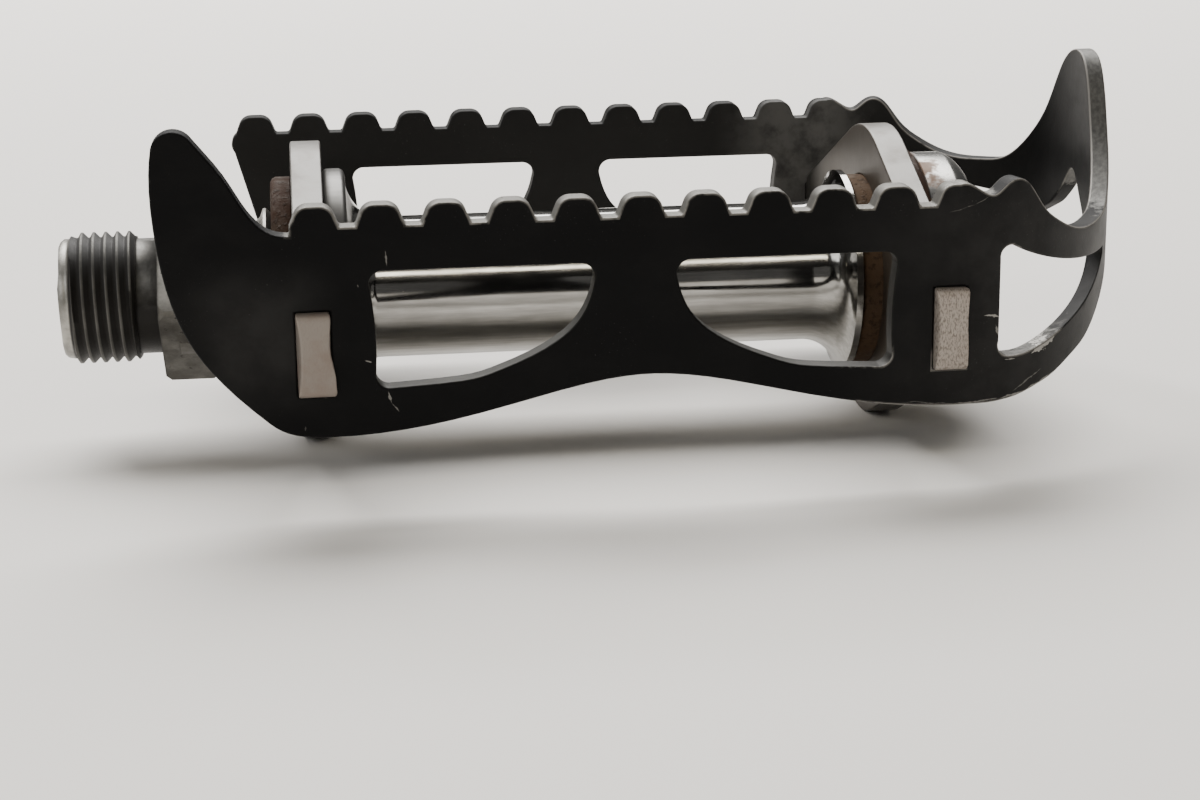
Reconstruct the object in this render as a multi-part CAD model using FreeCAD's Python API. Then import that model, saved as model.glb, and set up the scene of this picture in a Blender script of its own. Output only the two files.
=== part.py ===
import FreeCAD, Part
import math
import os

# A quill pedal for a bicycle, in millimetres. X runs along the spindle towards the outboard end, and Z is up
# on the tread side. X = 0 is the shoulder that seats on the crank arm, and the spindle's axis is Y = Z = 0.

# Spindle
thread_dia = 14.288
thread_length = 8.1
thread_chamfer = 0.9
relief_dia = 12.6
relief_length = 2.4
square_flats = 14.0
square_corner_dia = 19.2
square_length = 5.2
square_chamfer = 0.6
neck_dia = 14.2
shoulder_dia = 18.2
shoulder_lip = 0.5
shoulder_land = 0.3
shaft_dia = 10.4
end_thread_dia = 8.0
end_step = 0.6
end_chamfer = 0.5
end_overhang = 0.9
keyway_width = 2.0
keyway_depth = 1.0

# Bearings, both rows alike
ball_dia = 3.969
ball_count = 11
ball_facets = 10
ball_circle_dia = 15.2
cup_wall = 1.0
cup_floor = 1.0
cup_setback = 0.25
cup_rim_gap = 0.2
race_lip = 0.2
race_gap = 0.05
running_gap = 0.4
cone_dia = 16.4
cone_wall = 1.0
cone_gap = 0.3
cone_collar = 1.0
washer_thickness = 1.0
washer_dia = 13.0
tongue_gap = 0.1
nut_flats = 11.0
nut_height = 3.2

# Cross plates that carry the cage on the barrel
inboard_plate_x = 16.3
plate_spacing = 63.65
plate_thickness = 3.3
plate_round_dia = 32.6
arm_height = 10.4
tenon_height = 8.4
tenon_centre_z = 0.4
tenon_stand = 1.0
tenon_chamfer = 0.4
slot_gap = 0.05

# Barrel, rings and dust cap
barrel_dia = 15.6
barrel_bore = 12.6
flange_dia = 26.4
flange_width = 2.5
flange_chamfer = 0.4
flange_round = 0.6
shoulder_length = 2.9
rim_dia = 22.4
rim_width = 0.9
trumpet_length = 4.6
collar_width = 2.05
spigot_dia = 17.8
spigot_length = 1.6
ring_chamfer = 0.5
ring_gap = 0.1
inboard_ring_dia = 25.0
inboard_ring_width = 2.3
outboard_ring_dia = 26.8
outboard_ring_width = 2.25
cup_mouth = 1.05
cap_dia = 25.8
cap_skirt = 3.3
cap_length = 5.9
cap_face_dia = 18.4
cap_boss_dia = 16.0
cap_boss_height = 1.7
cap_boss_chamfer = 0.4
cap_wall = 0.85
cap_end_wall = 1.5
cap_spigot = 1.5
cap_fit = 0.03

# Cage: one strip that makes both toothed plates and the outboard loop
cage_depth = 64.0
strip = 2.5
bend_offset = 0.75
loop_reach = 23.85
loop_strip = 1.9
tread_z = 12.9
tooth_count = 11
tooth_rise = 2.1
tooth_width = 4.8
tooth_flat = 1.1
tooth_corner = 1.5
first_tooth_offset = 0.54
horn_z = 22.6
horn_lead = 14.8
horn_dip = 0.75
lobe_z = -8.1
lobe_offset = 1.5
outboard_lobe_z = -7.7
waist_z = -3.05
hump_z = 15.2
dip_z = 13.8
saddle_z = 8.65
loop_horn_z = 24.1
loop_under_z = 10.5

# Windows in the cage
window_top_z = 8.45
window_bottom_z = -3.3
window_corner = 1.3
inboard_window_offset = 5.6
outboard_window_offset = 5.5
window_bow = 0.5
window_web = 8.3
loop_window_offset = 5.3
loop_window_length = 15.05
loop_window_tip_z = 5.2

os.makedirs("parts", exist_ok=True)
V = FreeCAD.Vector


# Helpers: each plane turns a pair of sizes into a point in space
def in_side(x, z):
    return V(x, 0, z)


def in_end(y, z):
    return V(0, y, z)


def between(low, high, share):
    return low + share * (high - low)


def touch(radius, across, up):
    """The upper point where a line from (across, up) touches a round about the origin."""
    lean = math.atan2(up, across) + math.acos(radius / math.hypot(across, up))
    return radius * math.cos(lean), radius * math.sin(lean)


def closed_face(plane, start, steps):
    """A pair is a straight run, an arc names a point on the way, and a curve runs through its points."""
    edges = []
    at = plane(*start)
    for step in steps:
        if step[0] == "arc":
            end = plane(*step[2])
            edges.append(Part.Arc(at, plane(*step[1]), end).toShape())
        elif step[0] == "curve":
            points = [at] + [plane(*p) for p in step[1]]
            curve = Part.BSplineCurve()
            curve.interpolate(Points=points, InitialTangent=plane(*step[2]), FinalTangent=plane(*step[3]))
            edges.append(curve.toShape())
            end = points[-1]
        else:
            end = plane(*step)
            edges.append(Part.makeLine(at, end))
        at = end
    if at.distanceToPoint(plane(*start)) > 1e-6:
        edges.append(Part.makeLine(at, plane(*start)))
    return Part.Face(Part.Wire(edges))


def turned(start, *steps):
    return closed_face(in_side, start, steps).revolve(V(), V(1, 0, 0), 360)


def slab(face, direction, low, high):
    moved = face.translated(direction * low)
    return moved.extrude(direction * (high - low))


def rod(radius, start, end):
    return Part.makeCylinder(radius, end - start, V(start, 0, 0), V(1, 0, 0))


def save(shape, name):
    shape.exportStep("parts/" + name + ".step")


# Stations along the spindle
outboard_plate_x = inboard_plate_x + plate_spacing
half_plate = plate_thickness / 2
barrel_start = inboard_plate_x + half_plate
barrel_end = outboard_plate_x - half_plate - collar_width
ball_r = ball_dia / 2
circle_r = ball_circle_dia / 2
cup_bore_r = circle_r + ball_r + race_gap
cup_r = cup_bore_r + cup_wall
reach = (ball_r + race_gap) / math.sqrt(2)
race_low_r = circle_r - race_lip
race_length = 2 * reach + race_lip
cup_depth = cup_floor + race_length
race_top = 2 * reach - ball_r - race_gap
inboard_cup_end = barrel_start + flange_width - cup_setback
outboard_cup_end = barrel_end - spigot_length
inboard_ball_x = inboard_cup_end - cup_depth
outboard_ball_x = outboard_cup_end + cup_depth
inboard_ring_x = inboard_plate_x - half_plate - inboard_ring_width
inboard_mouth = inboard_plate_x - half_plate - cup_mouth
outboard_ring_x = outboard_plate_x + half_plate
cap_x = outboard_ring_x + outboard_ring_width
outboard_mouth = cap_x - cup_rim_gap
half_bore = barrel_bore / 2

# Outboard stack on the spindle: adjusting cone, keyed washer, lock nut
cone_low_r = end_thread_dia / 2 + cone_wall
cone_r = cone_dia / 2
cone_touch_x = outboard_ball_x + reach
cone_touch_r = circle_r - reach
cone_start = cone_touch_x - (cone_touch_r - cone_low_r)
cone_edge = cone_touch_x + (cone_r - cone_touch_r)
cone_end = cone_edge + cone_collar
washer_end = cone_end + washer_thickness
nut_end = washer_end + nut_height
spindle_end = nut_end + end_overhang

# Spindle: thread, relief, turned square, trumpet shoulder with its own cone, shaft and end thread
thread_r = thread_dia / 2
neck_r = neck_dia / 2
shoulder_r = shoulder_dia / 2
shaft_r = shaft_dia / 2
shaft_end_r = end_thread_dia / 2 + end_step
corner_r = square_corner_dia / 2
cone_lip = shoulder_r - shoulder_lip
own_touch_x = inboard_ball_x - reach
cone_lip_x = own_touch_x - (cone_lip - cone_touch_r)
own_cone_end = own_touch_x + (cone_touch_r - shaft_r)
thread_start = -relief_length - thread_length
square_back = square_length + corner_r - neck_r
flare_x = cone_lip_x - shoulder_lip
spindle = turned(
    (thread_start, 0),
    (thread_start, thread_r - thread_chamfer),
    (thread_start + thread_chamfer, thread_r),
    (-relief_length, thread_r),
    (-relief_length, relief_dia / 2),
    (0, relief_dia / 2),
    (0, corner_r - square_chamfer),
    (square_chamfer, corner_r),
    (square_length, corner_r),
    (square_back, neck_r),
    ("curve", [(flare_x - shoulder_land, shoulder_r)], (1, 0), (0.35, 1)),
    (flare_x, shoulder_r),
    (cone_lip_x, cone_lip),
    (own_cone_end, shaft_r),
    (barrel_end - trumpet_length, shaft_r),
    (outboard_cup_end, shaft_end_r),
    (cone_start - cone_gap, shaft_end_r),
    (cone_start - cone_gap, end_thread_dia / 2),
    (spindle_end - end_chamfer, end_thread_dia / 2),
    (spindle_end, end_thread_dia / 2 - end_chamfer),
    (spindle_end, 0),
)
# The square is milled on the turned collar with its corners up, down and to the sides
keep = Part.makeBox(square_back, square_flats, square_flats, V(0, -square_flats / 2, -square_flats / 2))
keep.rotate(V(), V(1, 0, 0), 45)
collar = rod(square_corner_dia, 0, square_back)
spindle = spindle.cut(collar.cut(keep.fuse(rod(neck_r, 0, square_back))))
keyway_z = end_thread_dia / 2 - keyway_depth
keyway = Part.makeBox(spindle_end - cone_end, keyway_width, 2 * keyway_depth,
                      V(cone_end, -keyway_width / 2, keyway_z))
spindle = spindle.cut(keyway)
save(spindle, "spindle")

# Adjusting cone, keyed washer and lock nut on the end thread
bore_r = end_thread_dia / 2
adjusting_cone = turned(
    (cone_start, bore_r),
    (cone_start, cone_low_r),
    (cone_edge, cone_r),
    (cone_end, cone_r),
    (cone_end, bore_r),
)
save(adjusting_cone, "adjusting_cone")

tongue = Part.makeBox(washer_thickness, keyway_width - 2 * tongue_gap, 2 * keyway_depth - tongue_gap,
                      V(cone_end, tongue_gap - keyway_width / 2, keyway_z + tongue_gap))
lock_washer = rod(washer_dia / 2, cone_end, washer_end).cut(rod(bore_r, cone_end, washer_end)).fuse(tongue)
save(lock_washer.removeSplitter(), "lock_washer")

nut_r = nut_flats / math.sqrt(3)
corners = [V(washer_end, nut_r * math.cos(math.radians(60 * k)), nut_r * math.sin(math.radians(60 * k)))
           for k in range(6)]
nut_face = Part.Face(Part.makePolygon(corners + corners[:1]))
lock_nut = nut_face.extrude(V(nut_height, 0, 0)).cut(rod(bore_r, washer_end, nut_end))
save(lock_nut, "lock_nut")


# Balls: cut from one faceted ball so that two full rows stay light
def ball(centre):
    rows = ball_facets // 2
    turns = [2 * math.pi * k / ball_facets for k in range(ball_facets)]
    rings = []
    for i in range(1, rows):
        along = ball_r * math.cos(math.pi * i / rows)
        out = ball_r * math.sin(math.pi * i / rows)
        rings.append([centre + V(along, out * math.cos(turn), out * math.sin(turn)) for turn in turns])
    poles = [centre + V(ball_r, 0, 0), centre - V(ball_r, 0, 0)]
    loops = []
    for k in range(ball_facets):
        n = (k + 1) % ball_facets
        loops.append([poles[0], rings[0][k], rings[0][n]])
        loops.append([poles[1], rings[-1][n], rings[-1][k]])
        for upper, lower in zip(rings, rings[1:]):
            loops.append([upper[k], lower[k], lower[n], upper[n]])
    faces = [Part.Face(Part.makePolygon(loop + loop[:1])) for loop in loops]
    return Part.Solid(Part.Shell(faces))


for row, ball_x in (("inboard", inboard_ball_x), ("outboard", outboard_ball_x)):
    for k in range(ball_count):
        turn = 2 * math.pi * k / ball_count
        place = V(ball_x, circle_r * math.cos(turn), circle_r * math.sin(turn))
        save(ball(place), "%s_ball_%02d" % (row, k + 1))

# Bearing cups: a conical race towards the barrel and a plain mouth away from it
inboard_cup = turned(
    (inboard_cup_end, half_bore),
    (inboard_cup_end, cup_r),
    (inboard_mouth, cup_r),
    (inboard_mouth, cup_bore_r),
    (inboard_ball_x + race_top, cup_bore_r),
    (inboard_cup_end - cup_floor, race_low_r),
    (inboard_cup_end - cup_floor, half_bore),
)
save(inboard_cup, "inboard_cup")

spigot_r = spigot_dia / 2
outboard_cup = turned(
    (outboard_cup_end, half_bore),
    (outboard_cup_end, spigot_r),
    (barrel_end, spigot_r),
    (barrel_end, cup_r),
    (outboard_mouth, cup_r),
    (outboard_mouth, cup_bore_r),
    (outboard_ball_x - race_top, cup_bore_r),
    (outboard_cup_end + cup_floor, race_low_r),
    (outboard_cup_end + cup_floor, half_bore),
)
save(outboard_cup, "outboard_cup")

# Barrel: flange and hollow shoulder inboard, trumpet and rim outboard
tube_r = barrel_dia / 2
flange_r = flange_dia / 2
rim_r = rim_dia / 2
shoulder_x = barrel_start + flange_width
trumpet_x = barrel_end - rim_width - trumpet_length
rim_x = barrel_end - rim_width
shoulder_mid = (shoulder_x + 0.3 * shoulder_length, tube_r + 0.3 * (flange_r - tube_r))
trumpet_mid = (trumpet_x + 0.68 * trumpet_length, tube_r + 0.3 * (rim_r - tube_r))
barrel = turned(
    (barrel_start, cup_r),
    (barrel_start, flange_r - flange_chamfer),
    (barrel_start + flange_chamfer, flange_r),
    (shoulder_x - flange_round, flange_r),
    (shoulder_x, flange_r - flange_round),
    ("arc", shoulder_mid, (shoulder_x + shoulder_length, tube_r)),
    (trumpet_x, tube_r),
    ("arc", trumpet_mid, (rim_x, rim_r)),
    (barrel_end, rim_r),
    (barrel_end, spigot_r),
    (outboard_cup_end, spigot_r),
    (outboard_cup_end, half_bore),
    (inboard_cup_end, half_bore),
    (inboard_cup_end, cup_r),
)
save(barrel, "barrel")

# Rings outside the cross plates, and the cap that closes the outboard bearing
inboard_ring_r = inboard_ring_dia / 2
ring_bore_r = shoulder_r + running_gap
inboard_dust_ring = turned(
    (inboard_ring_x, ring_bore_r),
    (inboard_ring_x, inboard_ring_r - ring_chamfer),
    (inboard_ring_x + ring_chamfer, inboard_ring_r),
    (inboard_ring_x + inboard_ring_width, inboard_ring_r),
    (inboard_ring_x + inboard_ring_width, cup_r),
    (inboard_mouth - ring_gap, cup_r),
    (inboard_mouth - ring_gap, ring_bore_r),
)
save(inboard_dust_ring, "inboard_dust_ring")

outboard_ring_r = outboard_ring_dia / 2
outboard_ring = turned(
    (outboard_ring_x, cup_r),
    (outboard_ring_x, outboard_ring_r),
    (cap_x - ring_chamfer, outboard_ring_r),
    (cap_x, outboard_ring_r - ring_chamfer),
    (cap_x, cup_r),
)
save(outboard_ring, "outboard_ring")

cap_r = cap_dia / 2
cap_face_r = cap_face_dia / 2
cap_face_x = cap_x + cap_length
cap_inner_r = cup_bore_r - cap_wall
cap_boss_r = cap_boss_dia / 2
cap_end = cap_face_x + cap_boss_height
cap_hollow = max(cap_end - cap_end_wall, spindle_end + running_gap)
dome_mid = (cap_x + cap_skirt + 0.7 * (cap_length - cap_skirt), cap_face_r + 0.68 * (cap_r - cap_face_r))
dust_cap = turned(
    (cap_x - cap_spigot, cap_inner_r),
    (cap_x - cap_spigot, cup_bore_r - cap_fit),
    (cap_x, cup_bore_r - cap_fit),
    (cap_x, cap_r),
    (cap_x + cap_skirt, cap_r),
    ("arc", dome_mid, (cap_face_x, cap_face_r)),
    (cap_face_x, cap_boss_r),
    (cap_end - cap_boss_chamfer, cap_boss_r),
    (cap_end, cap_boss_r - cap_boss_chamfer),
    (cap_end, 0),
    (cap_hollow, 0),
    (cap_hollow, cap_boss_r - cap_wall),
    (cap_face_x - cap_wall, cap_inner_r),
)
save(dust_cap, "dust_cap")

# Cross plates: a round about the cup with arms that taper to peened tenons
half_depth = cage_depth / 2
inner_y = half_depth - strip
round_r = plate_round_dia / 2
arm_top = tenon_centre_z + arm_height / 2
arm_bottom = tenon_centre_z - arm_height / 2
tenon_top = tenon_centre_z + tenon_height / 2
tenon_bottom = tenon_centre_z - tenon_height / 2
tenon_y = half_depth + tenon_stand


def cross_plate(centre):
    top_y, top_z = touch(round_r, inner_y, arm_top)
    low_y, low_z = touch(round_r, inner_y, -arm_bottom)
    tip_y = tenon_y - tenon_chamfer
    face = closed_face(in_end, (-top_y, top_z), [
        ("arc", (0, round_r), (top_y, top_z)),
        (inner_y, arm_top),
        (inner_y, tenon_top),
        (tip_y, tenon_top),
        (tenon_y, tenon_top - tenon_chamfer),
        (tenon_y, tenon_bottom + tenon_chamfer),
        (tip_y, tenon_bottom),
        (inner_y, tenon_bottom),
        (inner_y, arm_bottom),
        (low_y, -low_z),
        ("arc", (0, -round_r), (-low_y, -low_z)),
        (-inner_y, arm_bottom),
        (-inner_y, tenon_bottom),
        (-tip_y, tenon_bottom),
        (-tenon_y, tenon_bottom + tenon_chamfer),
        (-tenon_y, tenon_top - tenon_chamfer),
        (-tip_y, tenon_top),
        (-inner_y, tenon_top),
        (-inner_y, arm_top),
    ])
    plate = slab(face, V(1, 0, 0), centre - half_plate, centre + half_plate)
    return plate.cut(rod(cup_r, centre - plate_thickness, centre + plate_thickness))


save(cross_plate(inboard_plate_x), "inboard_cross_plate")
save(cross_plate(outboard_plate_x), "outboard_cross_plate")

# Cage plates, seen from the side: teeth, wavy lower edge, and a different end on each plate
first_tooth_x = inboard_plate_x + first_tooth_offset
bend_x = outboard_plate_x + bend_offset
tooth_pitch = (bend_x - first_tooth_x) / (tooth_count - 1)
tooth_half = tooth_width / 2
flat_half = tooth_flat / 2
tooth_top = tread_z + tooth_rise
lobe_x = inboard_plate_x + lobe_offset
waist_x = (lobe_x + bend_x) / 2


# A tooth has a short flat top, and round corners that run into leaning sides
corner_z = tooth_top - tooth_corner
side_x, side_z = touch(tooth_corner, tooth_half - flat_half, tread_z - corner_z)
mid_lean = (math.atan2(side_z, side_x) + math.pi / 2) / 2
corner_mid = (tooth_corner * math.cos(mid_lean), tooth_corner * math.sin(mid_lean))


def on_corner(x, away, point):
    return x + away * (flat_half + point[0]), corner_z + point[1]


def tooth_start(x):
    return [
        (x + tooth_half, tread_z),
        on_corner(x, 1, (side_x, side_z)),
        ("arc", on_corner(x, 1, corner_mid), (x + flat_half, tooth_top)),
    ]


def tooth_end(x):
    return [
        (x - flat_half, tooth_top),
        ("arc", on_corner(x, -1, corner_mid), on_corner(x, -1, (side_x, side_z))),
        (x - tooth_half, tread_z),
    ]


def teeth(x_from, count):
    """Teeth from the outboard end towards the crank, with flat valleys between them."""
    steps = []
    for k in range(count):
        x = x_from - k * tooth_pitch
        steps += tooth_start(x) + tooth_end(x)
    return steps


lower_edge = [
    ("curve", [(waist_x, waist_z), (bend_x, outboard_lobe_z)], (1, 0), (1, 0)),
    (bend_x, tooth_top),
] + tooth_end(bend_x)

# The near plate ends in a tall horn, the far plate in one more tooth and a slanted edge
horn_x = inboard_plate_x - horn_lead


def on_horn(along, up):
    """Shares of the horn's lead, and of its height over the tread or, if negative, down to the lobe."""
    return horn_x + along * horn_lead, between(tread_z, horn_z if up > 0 else lobe_z, abs(up))


near_end = [
    (first_tooth_x - tooth_half, tread_z - horn_dip),
    ("curve", [on_horn(0.69, 0.02), on_horn(0.487, 0.475), on_horn(0.277, 0.9)], (-1, 0), (-0.8, 1)),
    ("arc", on_horn(0.155, 1), on_horn(0.02, 0.845)),
    ("curve", [on_horn(0.007, 0), on_horn(0.264, -0.6), on_horn(0.655, -0.9), (lobe_x, lobe_z)],
     (-0.2, -1), (1, 0)),
]
far_x = first_tooth_x - tooth_pitch - tooth_half
far_corner_x = far_x - 0.1 * tooth_half
far_end = teeth(first_tooth_x - tooth_pitch, 1) + [
    ("arc", (far_x - 0.2 * tooth_half, between(tread_z, tooth_top, -0.33)),
     (far_corner_x, tread_z - tooth_rise)),
    (between(far_corner_x, lobe_x, 0.41), between(lobe_z, tread_z, 0.19)),
    ("curve", [(lobe_x, lobe_z)], (0.3, -1), (1, 0)),
]


def side_plate(ending, y_from, y_to):
    tread = teeth(bend_x - tooth_pitch, tooth_count - 1)
    face = closed_face(in_side, (lobe_x, lobe_z), lower_edge + tread + ending)
    return slab(face, V(0, 1, 0), y_from, y_to)


near_plate = side_plate(near_end, -half_depth, -inner_y)
far_plate = side_plate(far_end, inner_y, half_depth)

# Cage loop: the flat strip bent round half an ellipse and drawn thinner at its middle. Each station is an
# angle from the middle, the height of the strip's top edge, and how far the lower edge has risen.
half_loop = [
    (90, tooth_top, 0),
    (85, between(dip_z, hump_z, 0.43), 0),
    (81, dip_z, 0),
    (78, between(dip_z, hump_z, 0.64), 0.005),
    (74.5, hump_z, 0.015),
    (71, between(saddle_z, hump_z, 0.88), 0.033),
    (67, between(saddle_z, hump_z, 0.55), 0.06),
    (62, between(saddle_z, hump_z, 0.29), 0.095),
    (55, between(saddle_z, hump_z, 0.08), 0.165),
    (47, saddle_z, 0.24),
    (40, between(saddle_z, loop_horn_z, 0.013), 0.34),
    (32, between(saddle_z, loop_horn_z, 0.06), 0.46),
    (25, between(saddle_z, loop_horn_z, 0.2), 0.555),
    (20, between(saddle_z, loop_horn_z, 0.345), 0.62),
    (17, between(saddle_z, loop_horn_z, 0.45), 0.66),
    (14, between(saddle_z, loop_horn_z, 0.585), 0.7),
    (11, between(saddle_z, loop_horn_z, 0.745), 0.745),
    (8.5, between(saddle_z, loop_horn_z, 0.86), 0.8),
    (6, between(saddle_z, loop_horn_z, 0.937), 0.86),
    (3, between(saddle_z, loop_horn_z, 0.985), 0.95),
]
half_loop = [(angle, top, between(outboard_lobe_z, loop_under_z, risen)) for angle, top, risen in half_loop]
other_half = [(-angle, top, low) for angle, top, low in reversed(half_loop)]
stations = half_loop + [(0, loop_horn_z, loop_under_z)] + other_half
angles = [math.radians(angle) for angle, top, low in stations]


def loop_edge(depth, length, heights):
    """One long edge of the bent strip, through a point at every station."""
    points = [V(bend_x + length * math.cos(a), -depth * math.sin(a), z) for a, z in zip(angles, heights)]
    curve = Part.BSplineCurve()
    curve.interpolate(Points=points, Parameters=[angles[0] - a for a in angles])
    return curve.toShape()


tops = [top for angle, top, low in stations]
lows = [low for angle, top, low in stations]
outer_top = loop_edge(half_depth, loop_reach, tops)
outer_low = loop_edge(half_depth, loop_reach, lows)
inner_top = loop_edge(inner_y, loop_reach - loop_strip, tops)
inner_low = loop_edge(inner_y, loop_reach - loop_strip, lows)
pairs = [(outer_top, outer_low), (outer_top, inner_top), (inner_top, inner_low), (inner_low, outer_low)]
faces = [Part.makeRuledSurface(first, second) for first, second in pairs]
for side in (-1, 1):
    ends = [V(bend_x, side * y, z) for y, z in ((half_depth, tooth_top), (half_depth, outboard_lobe_z),
                                                (inner_y, outboard_lobe_z), (inner_y, tooth_top))]
    faces.append(Part.Face(Part.makePolygon(ends + ends[:1])))
shell = Part.Shell(faces)
shell.sewShape()
loop = Part.Solid(shell)

# Windows: two in each plate, mirrored about the middle, and one in each half of the loop
middle_x = (inboard_plate_x + outboard_plate_x) / 2
cut_y = half_depth + strip


def plate_window(away, offset):
    """A straight top, a bowed outer edge and a long curved inner edge; away is -1 or 1 along X."""
    outer = plate_spacing / 2 - offset
    foot = outer - 0.8 * window_bow
    bow_z = between(window_bottom_z, window_top_z, 0.45)
    inner = window_web / 2
    c = window_corner

    def p(x, z):
        return middle_x + away * x, z

    def on_curve(along, up):
        return p(between(inner, foot, along), between(window_bottom_z, window_top_z, up))

    face = closed_face(in_side, p(outer, window_top_z - c), [
        ("arc", p(outer - 0.3 * c, window_top_z - 0.3 * c), p(outer - c, window_top_z)),
        p(inner + c, window_top_z),
        ("arc", p(inner + 0.2 * c, window_top_z - 0.4 * c), p(inner, window_top_z - 1.5 * c)),
        ("curve", [on_curve(0.12, 0.425), on_curve(0.435, 0.12), p(foot - c, window_bottom_z)],
         (0.2 * away, -1), (away, -0.05)),
        ("arc", p(foot - 0.3 * c, window_bottom_z + 0.3 * c), p(foot, window_bottom_z + c)),
        ("arc", p(outer - window_bow, bow_z), p(outer, window_top_z - c)),
    ])
    return slab(face, V(0, 1, 0), -cut_y, cut_y)


def loop_window():
    """A pointed window: its tip is outboard, and its lower edge follows the strip's own."""
    x = outboard_plate_x + loop_window_offset
    tip = x + loop_window_length
    c = window_corner

    def on_curve(along, end_z, share):
        return between(x, tip, along), between(loop_window_tip_z, end_z, share)

    face = closed_face(in_side, (x, window_bottom_z + 1.5 * c), [
        (x, window_top_z - c),
        ("arc", (x + 0.3 * c, window_top_z - 0.2 * c), (x + c, window_top_z)),
        ("curve", [on_curve(0.405, window_top_z, 0.4), (tip, loop_window_tip_z)], (1, -0.55), (1, 0)),
        (tip, loop_window_tip_z - 0.45 * c),
        ("curve", [on_curve(0.695, window_bottom_z, 0.6), on_curve(0.31, window_bottom_z, 0.905),
                   (x + c, window_bottom_z + 0.23 * c)], (-0.5, -1), (-1, 0.1)),
        ("arc", (x + 0.3 * c, window_bottom_z + 0.46 * c), (x, window_bottom_z + 1.5 * c)),
    ])
    return slab(face, V(0, 1, 0), -cut_y, cut_y)


slots = [Part.makeBox(plate_thickness + 2 * slot_gap, 2 * cut_y, tenon_height + 2 * slot_gap,
                      V(x - half_plate - slot_gap, -cut_y, tenon_bottom - slot_gap))
         for x in (inboard_plate_x, outboard_plate_x)]

cage = near_plate.fuse([loop, far_plate]).removeSplitter()
windows = [plate_window(-1, inboard_window_offset), plate_window(1, outboard_window_offset), loop_window()]
for opening in windows + slots:
    cage = cage.cut(opening)
save(cage, "cage")
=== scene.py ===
import bpy
import math
from mathutils import Matrix, Vector


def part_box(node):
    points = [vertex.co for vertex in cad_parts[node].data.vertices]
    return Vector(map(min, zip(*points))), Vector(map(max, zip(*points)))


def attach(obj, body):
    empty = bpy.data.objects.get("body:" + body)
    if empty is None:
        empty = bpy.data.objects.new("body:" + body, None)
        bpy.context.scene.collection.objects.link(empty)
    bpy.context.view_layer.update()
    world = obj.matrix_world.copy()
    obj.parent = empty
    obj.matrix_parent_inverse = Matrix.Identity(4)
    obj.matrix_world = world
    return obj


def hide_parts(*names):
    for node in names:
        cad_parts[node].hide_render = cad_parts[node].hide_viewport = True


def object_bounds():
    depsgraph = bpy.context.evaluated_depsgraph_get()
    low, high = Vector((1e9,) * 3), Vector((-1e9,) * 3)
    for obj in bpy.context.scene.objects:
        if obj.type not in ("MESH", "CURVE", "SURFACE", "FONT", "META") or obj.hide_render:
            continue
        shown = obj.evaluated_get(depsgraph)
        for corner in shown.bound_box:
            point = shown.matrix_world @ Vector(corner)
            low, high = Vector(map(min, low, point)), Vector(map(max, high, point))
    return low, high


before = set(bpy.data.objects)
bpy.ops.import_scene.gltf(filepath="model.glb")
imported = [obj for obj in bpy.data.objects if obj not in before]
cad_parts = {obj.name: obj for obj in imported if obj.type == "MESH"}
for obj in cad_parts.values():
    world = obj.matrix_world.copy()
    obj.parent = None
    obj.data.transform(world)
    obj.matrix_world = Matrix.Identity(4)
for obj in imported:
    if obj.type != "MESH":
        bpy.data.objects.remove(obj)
cad_low, cad_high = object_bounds()

# Spindle: one steel axle, turned, with a rolled crank thread at the inboard end, a milled wrench square
# behind it, and a trumpet that carries the inboard cone. Its plating is worn, and black grease lies in the
# thread.
MM = 0.001
weld_gap = 0.002
thread_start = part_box("spindle")[0].x / MM
spindle_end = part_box("spindle")[1].x / MM
thread_end = -2.4
thread_r = 7.144
thread_pitch = 1.27
thread_depth = 0.56
thread_crest = 0.16 * thread_pitch
thread_shift = 0.4
thread_turns = 10
thread_sides = 96
lead_r = 6.5
lead_length = 0.9
lead_chamfer = 0.3
lead_slope = 1.4
runout_depth = 0.5
runout_slope = 1.2
relief_r = 6.3
relief_overlap = 1.0
core_end = 2.0
square_flats = 14.0
square_corner_r = 9.6
square_chamfer = 0.6
square_back = 7.7
square_taper = 2.5
flats_length = 20.0
flats_ease = 0.35
neck_r = 7.1
trumpet_start = square_back + 0.5
trumpet_x = 11.44
trumpet_r = 9.1
trumpet_land = 0.3
trumpet_steps = 8
cone_x = 12.24
cone_r = 8.6
cone_foot_x = 15.64
shaft_r = 5.2
shaft_end_x = 71.65
journal_x = 74.65
journal_r = 4.6
end_thread_x = 77.1
end_thread_r = 4.0
end_chamfer = 0.5
plating_dull = (0.20, 0.195, 0.18, 1)
plating_bright = (0.36, 0.35, 0.322, 1)
thread_dark = (0.05, 0.049, 0.046, 1)
lower_flat_dark = (0.07, 0.065, 0.056, 1)
flat_stain = (0.05, 0.046, 0.04, 1)
pit_dark = (0.03, 0.027, 0.024, 1)
grease_black = (0.010, 0.009, 0.008, 1)


def start_fresh():
    """Leaves nothing selected, because an operator acts on all that is."""
    bpy.ops.object.select_all(action="DESELECT")


def pick(piece):
    start_fresh()
    piece.select_set(True)
    bpy.context.view_layer.objects.active = piece


def edit_all(piece):
    pick(piece)
    bpy.ops.object.mode_set(mode="EDIT")
    bpy.ops.mesh.select_all(action="SELECT")


def close_up(piece):
    """Merges doubled points and turns all faces outwards."""
    if bpy.context.mode == "OBJECT":
        edit_all(piece)
    bpy.ops.mesh.select_all(action="SELECT")
    bpy.ops.mesh.remove_doubles(threshold=weld_gap * MM)
    bpy.ops.mesh.normals_make_consistent(inside=False)
    bpy.ops.object.mode_set(mode="OBJECT")


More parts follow.
